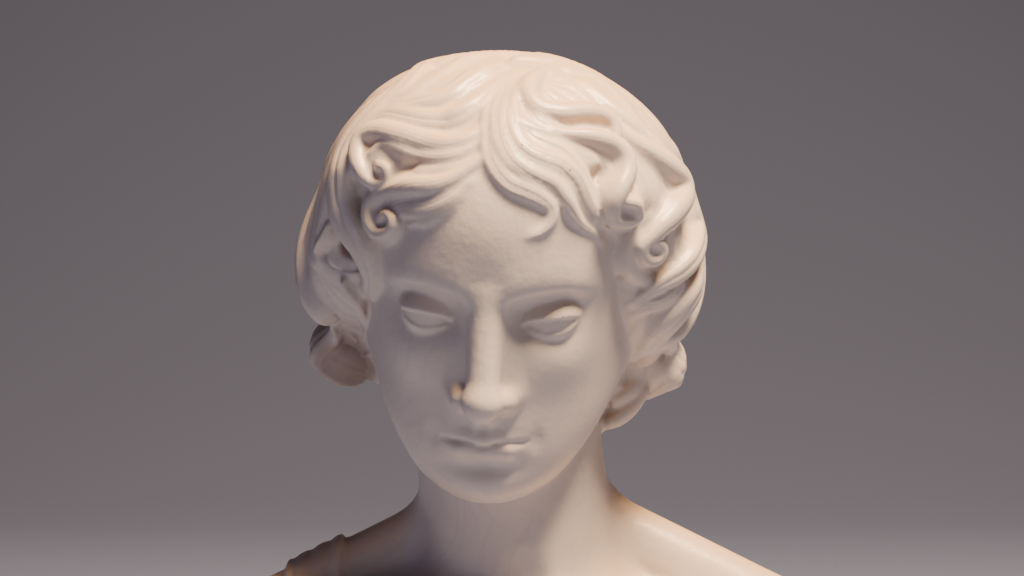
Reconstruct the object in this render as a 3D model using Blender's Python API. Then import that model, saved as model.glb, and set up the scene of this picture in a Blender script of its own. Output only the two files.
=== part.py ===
"""Marble bust of a young figure, head bowed and turned, with short parted curls.

One solid of carved stone. It is cut flat below the chest and straight through
the upper arms. The work is done in parts, 225 of them to the height of the
head from chin to crown, and scaled to metres at the end. The figure looks
toward -Y, its own left is +X, and +Z is up.
"""
import math

import bmesh
import bpy
import numpy as np

# Driving dimensions, in metres and degrees.
HEAD_HEIGHT = 0.225
PIT_HEIGHT = 0.118
ARM_CUT = 0.178
HEAD_BOW = 22.0
HEAD_TWIST = -5.0
HEAD_TILT = 3.0
LOCK_FULLNESS = 1.0
STRAP_WIDTH = 0.036
STRAP_THICKNESS = 0.004
TRIANGLES = 9500

PART = HEAD_HEIGHT / 225
PIT_MARK = 118.0
PROBE = 0.1


def vec(*values):
    return np.array(values, float)


def length(a):
    return np.sqrt((a * a).sum(-1))


# Each form below is a distance: below zero inside the stone, above zero outside.

def egg(points, centre, radii):
    p = (points - vec(*centre)) / vec(*radii)
    whole = length(p)
    slope = length(p / vec(*radii))
    return whole * (whole - 1) / np.maximum(slope, 1e-9)


def limb(points, start, end, thick_start, thick_end):
    a = vec(*start)
    axis = vec(*end) - a
    share = np.clip(((points - a) @ axis) / (axis @ axis), 0, 1)
    near = points - a - share[:, None] * axis
    return length(near) - (thick_start + share * (thick_end - thick_start))


def join(a, b, width):
    overlap = np.maximum(width - np.abs(a - b), 0) / width
    return np.minimum(a, b) - overlap * overlap * width / 4


def cut(a, b, width):
    return -join(-a, b, width)


def mirrored(points):
    return np.column_stack([np.abs(points[:, 0]), points[:, 1], points[:, 2]])


def hump(value, centre, spread):
    t = (value - centre) / spread
    return np.exp(-t * t)


def ramp(value, low, high):
    t = np.clip((value - low) / (high - low), 0, 1)
    return t * t * (3 - 2 * t)


# The head has its own frame: origin between the eyes' level and the ears.

HEAD_SEAT = vec(-13, -34, 297)


def turned(axis, degrees):
    a = math.radians(degrees)
    i = (axis + 1) % 3
    j = (axis + 2) % 3
    made = np.eye(3)
    made[i, i] = math.cos(a)
    made[j, j] = math.cos(a)
    made[i, j] = -math.sin(a)
    made[j, i] = math.sin(a)
    return made


TURN = turned(2, HEAD_TWIST) @ turned(1, HEAD_TILT) @ turned(0, HEAD_BOW)


def to_head(points):
    return (points - HEAD_SEAT) @ TURN


def from_head(point):
    return TURN @ vec(*point) + HEAD_SEAT


# Face.

SKULL = (0, 2, 30), (74, 92, 81)
EYE = vec(31, -66, -2)


def eye(m):
    """Eyeball with a lid above and below, looking down."""
    q = m - EYE
    x, y, z = q.T
    half = 15.5
    share = np.clip(np.abs(x) / half, 0, 1)
    upper = 4.6 * (1 - share ** 2.2) - 0.5
    lower = -5.2 * (1 - share ** 2.0) - 0.5
    inside = np.minimum(ramp(upper - z, -0.6, 0.6), ramp(z - lower, -0.6, 0.6))
    inside = inside * (1 - ramp(np.abs(x), half - 1.5, half))
    lid = np.where(z > -0.5, 2.0 + 0.7 * hump(z, upper + 1.3, 1.8), 1.5)
    return egg(q, (0, 0, 0), (16.5, 13.5, 13)) - lid * (1 - inside)


def nose(m):
    d = limb(m, (0, -86, 16), (0, -103, -36), 6.5, 8.0)
    d = join(d, limb(m, (5, -79, 6), (11, -85, -38), 5.5, 8.0), 10)
    d = join(d, egg(m, (0, -104.5, -39.5), (9.5, 9.0, 8.0)), 7)
    d = join(d, egg(m, (11.5, -91.5, -41.5), (6.0, 9.0, 6.5)), 5)
    return join(d, limb(m, (0, -104, -44), (0, -90, -48), 3.8, 4.5), 4)


def mouth(m):
    """How far the lips stand out, with the line between them sunk."""
    x, y, z = m.T
    half = 25.0
    share = np.clip(x / half, 0, 1)
    line = -67 + 1.0 * hump(share, 0.45, 0.25) - 0.8 * hump(share, 0, 0.15) - 0.4 * share ** 2
    bow = 7.6 + 1.3 * hump(x, 5, 3.5) - 1.2 * hump(x, 0, 2.2)
    top = line + bow * (1 - share ** 2.2) ** 0.8
    low = line - 9.0 * (1 - share ** 2.6) ** 0.8
    upper = np.clip((z - line) / np.maximum(top - line, 1e-6), 0, 1)
    under = np.clip((line - z) / np.maximum(line - low, 1e-6), 0, 1)
    swell = 2.6 * np.sin(np.pi * upper) ** 0.8 * (z > line)
    swell = swell + 3.4 * np.sin(np.pi * under) ** 0.8 * (z <= line)
    groove = 1.6 * hump(z, line, 1.3) * (1 - ramp(x, half - 5, half + 1))
    return ramp(-y, 55, 70) * (swell * (1 - share ** 2.5) - groove)


def face(p):
    m = mirrored(p)
    x, y, z = m.T
    d = egg(m, *SKULL)
    d = join(d, egg(m, (0, -4, -28), (71, 80, 55)), 30)
    d = join(d, egg(m, (0, -44, -63), (48, 40, 39)), 34)
    d = join(d, egg(m, (0, -73, -93), (23, 18, 16)), 24)
    front = ramp(-y, 25, 50)
    arch = 12 + 8.5 * np.sin(np.pi * np.clip((x - 2) / 62, 0, 1)) - 0.05 * np.maximum(x - 40, 0)
    rise = z - arch
    edge = np.where(rise > 0, hump(rise, 0, 13), hump(rise, 0, 6.5))
    d = d - front * 3.4 * edge * ramp(x, 2, 14) * (1 - ramp(x, 46, 66))
    d = d - front * 2.2 * hump(x, 0, 9) * hump(z, 12, 12)
    d = d + front * 8.5 * hump(x, 30, 16.5) * hump(z, 1, 10.5)
    d = d + front * 3.0 * hump(x, 15, 7) * hump(z, 3, 10)
    d = join(d, eye(m), 1.6)
    d = d - front * 3.0 * hump(x, 44, 17) * hump(z, -24, 15)
    d = join(d, nose(m), 5)
    d = cut(d, egg(m, (6.2, -97.5, -48.8), (3.0, 5.5, 3.2)), 2)
    d = d - front * 4.5 * hump(x, 0, 25) * hump(z, -65, 17)
    d = d - mouth(m)
    d = d + front * 2.2 * hump(z, -82.5, 6.5) * hump(x, 0, 20)
    return d - front * 2.0 * hump(z, -97, 11) * hump(x, 0, 15)


# Neck, shoulders and chest.

def body(p):
    m = mirrored(p)
    d = egg(m, (0, 6, 22), (134, 86, 96))
    d = join(d, egg(m, (0, 10, 66), (160, 58, 46)), 30)
    d = join(d, egg(m, (58, -34, 26), (60, 46, 58)), 30)
    d = join(d, egg(m, (72, 50, 36), (54, 32, 60)), 30)
    d = join(d, limb(m, (150, 10, 62), (160, 6, -60), 40, 36), 18)
    d = join(d, limb(p, (0, 24, 90), (-13, -6, 230), 58, 51), 24)
    d = join(d, limb(m, (40, 26, 150), (140, 16, 100), 17, 18), 18)
    for side in (-1, 1):
        ear = from_head((side * 44, 10, -40))
        d = join(d, limb(p, ear, (side * 8, -34, 112), 11, 6), 18)
    d = join(d, limb(m, (10, -40, 108), (72, -34, 108), 6, 5), 12)
    d = join(d, limb(m, (72, -34, 108), (146, -4, 98), 5, 6), 14)
    d = cut(d, egg(p, (0, -56, 120), (11, 16, 14)), 12)
    return d - strap(p)


def strap(p):
    """How far a band of cloth stands out, over the right shoulder, front and back."""
    x, y, z = p.T
    middle = -122 + 0.35 * np.clip(104 - z, 0, 110)
    return STRAP_THICKNESS / PART * ramp(STRAP_WIDTH / PART / 2 - np.abs(x - middle), 0, 3)


# Hair: one swelling over the skull, then locks laid on it.

SHELL_CENTRE = vec(0, 8, 22)
SHELL_RADII = vec(98, 92, 96)
BUN_RIGHT = to_head(vec(-104, 30, 243))
BUN_LEFT = to_head(vec(72, 30, 238))


def hair_base(q):
    d = egg(q, SHELL_CENTRE, SHELL_RADII)
    d = join(d, egg(q, (-68, 12, -6), (41, 50, 42)), 14)
    d = join(d, egg(q, (66, 10, -4), (37, 48, 44)), 14)
    d = join(d, egg(q, (0, 52, -46), (76, 42, 36)), 16)
    d = join(d, egg(q, BUN_RIGHT, (17, 19, 17)), 8)
    return join(d, egg(q, BUN_LEFT, (17, 19, 20)), 8)


def on_shell(path):
    """Places on the hair from degrees round, degrees up and parts of lift."""
    a = np.radians(path[:, 0])
    e = np.radians(path[:, 1])
    ray = np.stack([np.sin(a) * np.cos(e), -np.cos(a) * np.cos(e), np.sin(e)], 1)
    scales = np.linspace(1.6, 0.7, 91)
    spots = SHELL_CENTRE + (SHELL_RADII * ray)[:, None, :] * scales[None, :, None]
    flat = spots.reshape(-1, 3)
    d = np.minimum(hair_base(flat), egg(flat, *SKULL)).reshape(len(path), -1)
    first = np.maximum(np.argmax(d < 0, axis=1), 1)
    row = np.arange(len(path))
    before = d[row, first - 1]
    share = before / (before - d[row, first])
    scale = scales[first - 1] + share * (scales[first] - scales[first - 1])
    return SHELL_CENTRE + SHELL_RADII * ray * scale[:, None] + path[:, 2:3] * ray


def volute(around, up, radius, start, turns, lift, tight=0.3):
    """Path points that wind in towards a centre; plus turns run left over the top."""
    made = []
    count = max(4, int(abs(turns) * 9))
    flat = max(math.cos(math.radians(up)), 0.3)
    for i in range(count + 1):
        share = i / count
        angle = math.radians(start + 360 * turns * share)
        r = radius * (1 + (tight - 1) * share)
        made.append((around + r * math.cos(angle) / flat, up + r * math.sin(angle), lift))
    return made


def curve_through(points):
    p = np.array(points, float)
    p = np.vstack([2 * p[0] - p[1], p, 2 * p[-1] - p[-2]])
    made = []
    for i in range(1, len(p) - 2):
        a, b, c, d = p[i - 1:i + 3]
        for t in np.linspace(0, 1, 10, endpoint=False):
            bend = (2 * a - 5 * b + 4 * c - d) * t * t + (3 * b - a - 3 * c + d) * t ** 3
            made.append(0.5 * (2 * b + (c - a) * t + bend))
    made.append(p[-2])
    return np.array(made)


def evened(line, spacing):
    gone = np.concatenate([[0], np.cumsum(length(np.diff(line, axis=0)))])
    count = max(8, int(gone[-1] / spacing))
    even = np.linspace(0, gone[-1], count)
    return np.column_stack([np.interp(even, gone, line[:, k]) for k in range(3)])


def lock(line, wide, high, tip, taper):
    """A lock of hair: a flattened tube along a line, tapering at both ends."""
    line = evened(line, 3.0)
    t = np.linspace(0, 1, len(line))
    size = 0.6 + 0.4 * ramp(t, 0, 0.25)
    size = size * (tip + (1 - tip) * (1 - ramp(t, 1 - taper, 1)))
    along = np.gradient(line, axis=0)
    along = along / length(along)[:, None]
    out = (line - SHELL_CENTRE) / SHELL_RADII ** 2
    side = np.cross(out, along)
    side = side / length(side)[:, None]
    out = np.cross(along, side)
    tall = high * LOCK_FULLNESS * (0.35 + 0.65 * size)
    return {"line": line, "along": along, "out": out, "side": side,
            "wide": wide * size, "high": tall}


def on_head(points, wide, high, tip=0.3, taper=0.35):
    line = on_shell(curve_through(points))
    for _ in range(2):
        line[1:-1] = 0.25 * line[:-2] + 0.5 * line[1:-1] + 0.25 * line[2:]
    return lock(line, wide, high, tip, taper)


def hanging(points, wide, high, tip=0.3, taper=0.35):
    places = [to_head(vec(*point)) for point in points]
    return lock(curve_through(places), wide, high, tip, taper)


# Each path point is degrees round from the nose, degrees up, parts of lift.

def under_locks():
    """Flat locks that fill both sides from the parting down."""
    made = []
    ends = 24, 8, -14, -30, -34
    for side in (-1, 1):
        for k, end in enumerate(ends):
            turn = 40 + 17 * k
            path = [(side * turn * 0.35, 76, 0.5),
                    (side * turn * 0.75, 62, 1),
                    (side * (turn - 3), 44, 1.5),
                    (side * (turn + 4), (44 + end) / 2, 1.5),
                    (side * turn, end + 4, 1)]
            made.append(on_head(path, 10, 3.5, 0.5, 0.2))
    return made


def back_locks():
    """Waved locks from the crown to the nape, each ending in a curl."""
    made = []
    for k in range(10):
        turn = 112 + 15.1 * k
        sway = 4
        path = [(turn + 2, 68, 0),
                (turn + sway, 50, 1),
                (turn - sway, 31, 2),
                (turn + sway, 11, 2.5),
                (turn - sway, -8, 2.5),
                (turn + sway, -24, 2.5)]
        way = 1 if k < 5 else -1
        made.append(on_head(path + volute(turn, -40, 8, 90, 1.1 * way, 2), 12.5, 4.5, 0.4))
    return made


def right_locks():
    """The figure's right side."""
    return [
        on_head([(-3, 62, 2), (-9, 55, 3), (-18, 49, 4), (-30, 49, 4), (-43, 45, 4),
                 (-60, 42, 4), (-75, 36, 4)], 7.5, 5),
        on_head([(-3, 52, 2), (-9, 45, 3.5), (-18, 42, 4), (-27, 44, 4), (-37, 45, 4.5),
                 (-50, 45, 4)] + volute(-47, 33, 10.5, 105, 1.0, 4), 6, 5),
        on_head([(-3, 44, 1.5), (-9, 39, 3), (-18, 36, 4), (-28, 37, 4.5),
                 (-38, 38.5, 4)] + volute(-47, 31, 6, 80, 0.8, 1), 4.5, 4),
        on_head([(-5, 37, 1), (-12, 31.5, 3), (-22, 27, 4),
                 (-33, 27.5, 4)] + volute(-39, 14, 11, 100, 1.55, 4, 0.15), 5.5, 5),
        on_head([(-8, 33, 0), (-16, 27, 1), (-26, 22, 2), (-34, 21, 2)], 3.5, 2.5),
        on_head([(-50, 66, 0), (-66, 57, 3), (-77, 46, 4), (-82, 34, 5), (-82, 21, 6),
                 (-77, 10, 6), (-67, 3, 6), (-56, 0, 5), (-47, -5, 3), (-43, -13, 0)], 8.5, 7),
        on_head([(-50, 60, 1), (-62, 48, 3), (-67, 35, 4), (-67, 22, 5), (-62, 12, 5),
                 (-55, 7, 4), (-50, 5, 1)], 6.5, 5),
        on_head([(-92, 42, 2), (-98, 28, 4), (-100, 14, 5), (-96, 0, 6), (-90, -10, 6),
                 (-84, -20, 6), (-76, -27, 6), (-68, -29, 5), (-62, -25, 3)], 8, 7),
        on_head([(-84, 2, 3), (-88, -5, 4), (-86, -13, 4), (-77, -18, 4), (-68, -16, 3),
                 (-62, -12, 2)], 5, 5),
        on_head([(-112, 20, 3), (-112, 0, 4), (-108, -20, 4), (-100, -34, 3),
                 (-92, -42, 3)] + volute(-92, -50, 7, 90, 1.2, 3), 8, 6),
    ]


def left_locks():
    """The figure's left side, with the strands that fall on the brow."""
    return [
        on_head([(2, 64, 2), (-2, 50, 4), (-1, 39, 4), (3, 30, 4.5), (11, 25.5, 4),
                 (17.5, 21, 3), (18, 16, 1.5), (13, 14.5, 0)], 4.2, 4.5, 0.2, 0.3),
        on_head([(5, 62, 2), (4, 50, 4.5), (7, 40, 5), (12, 34, 5), (20, 31.5, 5),
                 (25.5, 26, 4.5), (26, 19, 3), (31, 15.5, 1.5), (37, 14.5, 0)], 4.5, 5, 0.2, 0.3),
        on_head([(8, 62, 2), (10, 49, 5), (16, 41.5, 5.5), (25, 38, 5.5), (30, 31.5, 5),
                 (31, 23.5, 4), (37, 19, 3)] + volute(52, 17, 9, 160, 1.2, 4), 4.8, 5),
        on_head([(12, 58, 3), (18, 46, 4), (30, 40, 4), (38, 34, 4), (42, 28, 3.5),
                 (48, 26, 3)], 4.5, 4.5),
        on_head([(9, 72, 1), (8, 60, 3), (9, 52, 5.5), (17, 47.5, 6), (27, 47, 6), (38, 42, 6),
                 (50, 39, 6), (60, 34, 6), (60, 26, 5), (53, 22, 3)], 6, 6),
        on_head([(22, 50, 3), (34, 44, 4), (46, 36, 4), (52, 30, 3.5), (50, 26, 2)], 4.5, 4),
        on_head([(13, 72, 1), (15, 60, 4), (24, 54, 6), (36, 54, 6), (48, 50, 6),
                 (62, 42, 6)] + volute(67, 35, 4.5, 110, -0.9, 5), 6.5, 6),
        on_head([(50, 62, 1), (64, 50, 3), (76, 38, 4), (84, 27, 5), (84, 18, 6),
                 (77, 11, 5)] + volute(69, 0.5, 10, 100, 1.35, 5), 7, 6),
        on_head([(70, 58, 0), (84, 46, 3), (92, 30, 4), (94, 14, 4), (92, 0, 5), (87, -12, 5),
                 (80, -20, 5), (72, -22, 4)], 8.5, 6.5),
        on_head([(104, 24, 3), (108, 6, 4), (106, -10, 4), (98, -24, 5), (86, -33, 5),
                 (76, -34, 5)] + volute(76, -28, 6, 250, 0.9, 4), 8, 6.5),
        on_head([(112, 0, 3), (112, -18, 4), (106, -34, 4), (96, -44, 4),
                 (86, -46, 4)] + volute(86, -52, 7, 90, 1.1, 3), 8, 6),
        on_head([(62, -18, 1), (68, -28, 2), (72, -40, 2), (70, -50, 2)], 6, 5),
        hanging([(66, 22, 238), (68, 10, 224), (62, 2, 211), (52, 2, 205), (46, 4, 210),
                 (50, 2, 216)], 7, 8, 0.5),
    ]


LOCKS = under_locks() + back_locks() + right_locks() + left_locks()

# Where the hair ends on the brow and temples: degrees up, degrees round.
HAIRLINE_RIGHT = [(-60, -75), (-45, -64), (-30, -56), (-15, -49), (-5, -46), (5, -46),
                  (14, -46), (22, -40), (27, -26), (33, -13), (38, -6), (45, -3), (60, -2)]
HAIRLINE_LEFT = [(-60, 75), (-45, 66), (-30, 60), (-20, 58), (-8, 57), (2, 54),
                 (12, 47), (19, 38), (24, 24), (30, 12), (36, 6), (45, 4), (60, 2)]


def hair_cap(p):
    """The swelling of the hair with its parting, taken away over the face."""
    x, y, z = ((p - SHELL_CENTRE) / SHELL_RADII).T
    up = np.degrees(np.arctan2(z, np.hypot(x, y)))
    around = np.degrees(np.arctan2(x, -y))
    right = np.interp(up, *np.array(HAIRLINE_RIGHT, float).T)
    left = np.interp(up, *np.array(HAIRLINE_LEFT, float).T)
    bare = ramp(np.where(around < 0, around - right, left - around), -4, 3) * (up < 60)
    x, y, z = p.T
    parting = 3.5 * hump(x, 1.5, 3.2) * ramp(z, 60, 80) * (1 - ramp(y, 15, 40))
    return hair_base(p) + parting + 40 * bare


# The nearest stretch of every lock is found once a step, then measured four times.

def nearest(points, made, reach):
    line = made["line"]
    most = max(made["wide"].max(), made["high"].max()) + reach
    close = ((points > line.min(0) - most) & (points < line.max(0) + most)).all(1)
    close = np.nonzero(close)[0]
    p = points[close]
    best = np.full(len(p), most * most)
    pick = np.full(len(p), -1)
    for i in range(0, len(line) - 1, 8):
        a = line[i:i + 9][:-1]
        b = line[i:i + 9][1:]
        low = np.minimum(a, b).min(0) - most
        top = np.maximum(a, b).max(0) + most
        some = np.nonzero(((p > low) & (p < top)).all(1))[0]
        if not len(some):
            continue
        axis = b - a
        rel = p[some][:, None, :] - a[None]
        share = np.clip((rel * axis).sum(-1) / (axis * axis).sum(-1), 0, 1)
        near = rel - share[..., None] * axis
        far = (near * near).sum(-1)
        which = far.argmin(1)
        least = far[np.arange(len(some)), which]
        better = least < best[some]
        best[some[better]] = least[better]
        pick[some[better]] = which[better] + i
    kept = pick >= 0
    return close[kept], pick[kept]


def lock_field(points, made, k):
    line = made["line"]
    a = line[k]
    axis = line[k + 1] - a
    rel = points - a
    share = np.clip((rel * axis).sum(-1) / (axis * axis).sum(-1), 0, 1)
    near = rel - share[:, None] * axis

    def mixed(name):
        v = made[name]
        t = share if v.ndim == 1 else share[:, None]
        return v[k] * (1 - t) + v[k + 1] * t

    wide = mixed("wide")
    high = mixed("high")
    across = (near * mixed("side")).sum(-1) / wide
    rise = (near * mixed("out")).sum(-1) / high
    ahead = (near * mixed("along")).sum(-1) / wide
    whole = np.sqrt(across * across + rise * rise + ahead * ahead)
    slope = np.sqrt((across / wide) ** 2 + (rise / high) ** 2 + (ahead / wide) ** 2)
    return whole * (whole - 1) / np.maximum(slope, 1e-6)


def plan(points, reach):
    q = to_head(points)
    return [nearest(q, made, reach) for made in LOCKS]


def bust(points, near):
    q = to_head(points)
    locks = np.full(len(q), 1e3)
    for made, (close, k) in zip(LOCKS, near):
        if len(close):
            locks[close] = join(locks[close], lock_field(q[close], made, k), 2.5)
    head = join(face(q), join(hair_cap(q), locks, 3), 2)
    return join(body(points), head, 8)


# Carving: a rough block is remeshed and its surface driven onto the form.

def rough_block(name, eggs):
    bm = bmesh.new()
    for centre, radii in eggs:
        grown = bmesh.ops.create_icosphere(bm, subdivisions=4, radius=1.0)
        bmesh.ops.scale(bm, vec=radii, verts=grown["verts"])
        bmesh.ops.translate(bm, vec=centre, verts=grown["verts"])
    mesh = bpy.data.meshes.new(name)
    bm.to_mesh(mesh)
    bm.free()
    obj = bpy.data.objects.new(name, mesh)
    bpy.context.scene.collection.objects.link(obj)
    return obj


def modified(obj, kind, **settings):
    """Puts one modifier on and keeps what it makes."""
    step = obj.modifiers.new("step", kind)
    for key, value in settings.items():
        setattr(step, key, value)
    graph = bpy.context.evaluated_depsgraph_get()
    made = bpy.data.meshes.new_from_object(obj.evaluated_get(graph))
    obj.modifiers.clear()
    old = obj.data
    obj.data = made
    bpy.data.meshes.remove(old)


def driven(obj, offset, steps, most, reach):
    mesh = obj.data
    flat = np.empty(len(mesh.vertices) * 3, np.float32)
    mesh.vertices.foreach_get("co", flat)
    p = flat.reshape(-1, 3).astype(float)
    ends = np.empty(len(mesh.edges) * 2, np.int32)
    mesh.edges.foreach_get("vertices", ends)
    ends = ends.reshape(-1, 2)
    count = np.bincount(ends.ravel(), minlength=len(p)).astype(float)
    for step in range(steps):
        if step < steps - 1:
            total = np.zeros_like(p)
            for k in range(3):
                total[:, k] += np.bincount(ends[:, 0], p[ends[:, 1], k], len(p))
                total[:, k] += np.bincount(ends[:, 1], p[ends[:, 0], k], len(p))
            p = p + 0.4 * (total / count[:, None] - p)
        near = plan(p, reach)
        d = bust(p, near)
        slope = np.stack([(bust(p + PROBE * np.eye(3)[k], near) - d) / PROBE for k in range(3)], 1)
        away = (d - offset) / np.maximum((slope * slope).sum(1), 0.25)
        move = slope * away[:, None]
        p = p - move * np.minimum(1, most / np.maximum(length(move), 1e-9))[:, None]
    mesh.vertices.foreach_set("co", p.astype(np.float32).ravel())
    mesh.update()


def sawn(obj, planes):
    bm = bmesh.new()
    bm.from_mesh(obj.data)
    for point, away in planes:
        everything = bm.verts[:] + bm.edges[:] + bm.faces[:]
        done = bmesh.ops.bisect_plane(bm, geom=everything, dist=1e-4, plane_co=point,
                                      plane_no=away, clear_outer=True)
        rim = [e for e in done["geom_cut"] if isinstance(e, bmesh.types.BMEdge)]
        bmesh.ops.contextual_create(bm, geom=rim)
    bmesh.ops.recalc_face_normals(bm, faces=bm.faces[:])
    bm.to_mesh(obj.data)
    bm.free()


for old_object in list(bpy.data.objects):
    bpy.data.objects.remove(old_object)

bust_body = rough_block("marble_bust", [((-14, -10, 285), (140, 130, 150)),
                                        ((0, 5, 180), (90, 90, 110)),
                                        ((0, 0, 50), (215, 130, 115))])
# Distance left on, grain, steps, longest move, and reach of the locks.
for offset, grain, steps, most, reach in [(12, 8, 6, 12, 19), (4, 5, 4, 6, 15), (0, 2.7, 4, 4, 7)]:
    modified(bust_body, "REMESH", mode="VOXEL", voxel_size=grain, adaptivity=0)
    driven(bust_body, offset, steps, most, reach)

modified(bust_body, "SMOOTH", factor=0.5, iterations=3)

floor = PIT_MARK - PIT_HEIGHT / PART
side_cut = ARM_CUT / PART
sawn(bust_body, [((0, 0, floor), (0, 0, -1)),
                 ((side_cut, 0, 0), (1, 0, 0)),
                 ((-side_cut, 0, 0), (-1, 0, 0))])

bm = bmesh.new()
bm.from_mesh(bust_body.data)
bmesh.ops.triangulate(bm, faces=bm.faces[:])
bmesh.ops.translate(bm, vec=(0, 0, -floor), verts=bm.verts[:])
bmesh.ops.scale(bm, vec=(PART, PART, PART), verts=bm.verts[:])
triangles = len(bm.faces)
bm.to_mesh(bust_body.data)
bm.free()
modified(bust_body, "DECIMATE", ratio=TRIANGLES / triangles)

marble = bpy.data.materials.new("marble")
marble.use_nodes = True
skin = marble.node_tree.nodes["Principled BSDF"]
skin.inputs["Base Color"].default_value = (0.72, 0.66, 0.6, 1)
skin.inputs["Roughness"].default_value = 0.5
bust_body.data.materials.clear()
bust_body.data.materials.append(marble)
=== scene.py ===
# %% [markdown]
# # A marble bust, carved by arithmetic
# A young head in white marble, bowed and turned a little, with short wavy curls
# parted in the middle. Head, neck, shoulders and chest are one block. A sculptor
# would rough it out, then cut nearer and nearer to a form held in the mind. This
# script does the same: the form is written down as distances, and a rough block
# is driven onto it in finer and finer steps.

# %% The frame and the tools
import math
from concurrent.futures import ThreadPoolExecutor

import bmesh
import bpy
import numpy as np
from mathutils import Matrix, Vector


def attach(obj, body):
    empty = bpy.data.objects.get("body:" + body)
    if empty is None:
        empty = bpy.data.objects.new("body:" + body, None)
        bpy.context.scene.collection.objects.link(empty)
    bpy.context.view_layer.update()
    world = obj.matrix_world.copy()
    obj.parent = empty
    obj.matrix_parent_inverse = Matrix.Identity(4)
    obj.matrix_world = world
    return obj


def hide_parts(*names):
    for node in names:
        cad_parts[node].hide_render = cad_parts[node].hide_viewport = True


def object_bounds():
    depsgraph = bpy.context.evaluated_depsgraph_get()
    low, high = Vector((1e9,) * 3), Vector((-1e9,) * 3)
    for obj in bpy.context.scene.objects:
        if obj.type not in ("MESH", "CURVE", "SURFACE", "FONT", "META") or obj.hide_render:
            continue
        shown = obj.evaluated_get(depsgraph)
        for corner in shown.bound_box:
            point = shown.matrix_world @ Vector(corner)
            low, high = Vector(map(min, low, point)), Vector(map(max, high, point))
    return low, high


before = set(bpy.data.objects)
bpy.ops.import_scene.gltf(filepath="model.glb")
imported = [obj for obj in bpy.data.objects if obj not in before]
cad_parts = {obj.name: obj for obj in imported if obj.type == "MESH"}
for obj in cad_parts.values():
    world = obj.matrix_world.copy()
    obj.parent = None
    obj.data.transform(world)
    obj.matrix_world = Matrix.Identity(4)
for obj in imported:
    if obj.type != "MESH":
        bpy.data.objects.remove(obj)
cad_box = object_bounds()
HEIGHT = cad_box[1][2] - cad_box[0][2]
print("frame height in mm", round(HEIGHT * 1000))

# %% [markdown]
# The head is 225 mm from chin to crown, as on a grown person. All carving sizes
# are in parts, 225 to the head, so a part is a millimetre here. The figure looks
# toward -Y, and its own left is +X. The pit of the neck is at mark 118, and the
# block is cut flat that far below it.

# %% Parts
HEAD_HEIGHT = 0.225
PART = HEAD_HEIGHT / 225
PIT_MARK = 118.0
PIT_HEIGHT = 0.118
ARM_CUT = 0.178
FLOOR = PIT_MARK - PIT_HEIGHT / PART
print("one part in mm", PART * 1000)

# %% [markdown]
# ## The words of the form
# A form is a distance: below zero inside the stone, zero on its skin, above zero
# outside. An egg is a stretched ball and a limb a tapering rod with round ends.
# Two forms join with a soft crease, and one is cut from another in the same way.
# This suits carving better than joined meshes, because any two forms blend, and
# the width of each crease is one number.

# %% Eggs, limbs and creases
def vec(*values):
    return np.array(values, float)


def length(a):
    return np.sqrt((a * a).sum(-1))


def egg(points, centre, radii):
    p = (points - vec(*centre)) / vec(*radii)
    whole = length(p)
    slope = length(p / vec(*radii))
    return whole * (whole - 1) / np.maximum(slope, 1e-9)


def hollow(points, centre, radii):
    """An egg to cut with, whose distance keeps falling right to its middle."""
    return (length((points - vec(*centre)) / vec(*radii)) - 1) * min(radii)


def limb(points, start, end, thick_start, thick_end):
    a = vec(*start)
    axis = vec(*end) - a
    share = np.clip(((points - a) @ axis) / (axis @ axis), 0, 1)
    near = points - a - share[:, None] * axis
    return length(near) - (thick_start + share * (thick_end - thick_start))


def join(a, b, width):
    overlap = np.maximum(width - np.abs(a - b), 0) / width
    return np.minimum(a, b) - overlap * overlap * width / 4


def cut(a, b, width):
    return -join(-a, b, width)


# %% [markdown]
# Three small helpers shape relief: a hump rises and falls round a value, a ramp
# climbs from 0 to 1 between two, and mirrored points let one cheek serve as both.

# %% Humps and ramps
def mirrored(points):
    return np.column_stack([np.abs(points[:, 0]), points[:, 1], points[:, 2]])


def hump(value, centre, spread):
    t = (value - centre) / spread
    return np.exp(-t * t)


def ramp(value, low, high):
    t = np.clip((value - low) / (high - low), 0, 1)
    return t * t * (3 - 2 * t)


# %% [markdown]
# ## Where the head sits
# The head bows 22 degrees, turns 5 and tips 3. It has a frame of its own, with its
# origin level with the eyes and between the ears, so the face can be laid out
# upright and set in place afterwards.

# %% The head's own frame
HEAD_SEAT = vec(-13, -34, 297)
HEAD_BOW = 22.0
HEAD_TWIST = -5.0
HEAD_TILT = 3.0


def turned(axis, degrees):
    a = math.radians(degrees)
    i = (axis + 1) % 3
    j = (axis + 2) % 3
    made = np.eye(3)
    made[i, i] = math.cos(a)
    made[j, j] = math.cos(a)
    made[i, j] = -math.sin(a)
    made[j, i] = math.sin(a)
    return made


TURN = turned(2, HEAD_TWIST) @ turned(1, HEAD_TILT) @ turned(0, HEAD_BOW)


def to_head(points):
    return (points - HEAD_SEAT) @ TURN


def from_head(point):
    return TURN @ vec(*point) + HEAD_SEAT


# %% [markdown]
# ## The face
# The face is a plain, calm one of this script's own, on the proportions in
# drawing books: eyes halfway up the head, the base of the nose halfway from brow
# to chin, and an eye's width between the eyes. Skull, cheeks, jaw and chin are
# four eggs and a limb. Everything smaller is laid on them.

# %% Eyes with lids
SKULL = (0, 2, 30), (74, 92, 81)
EYE = vec(31, -65.5, -2)
EYE_TURN = math.radians(16)


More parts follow.
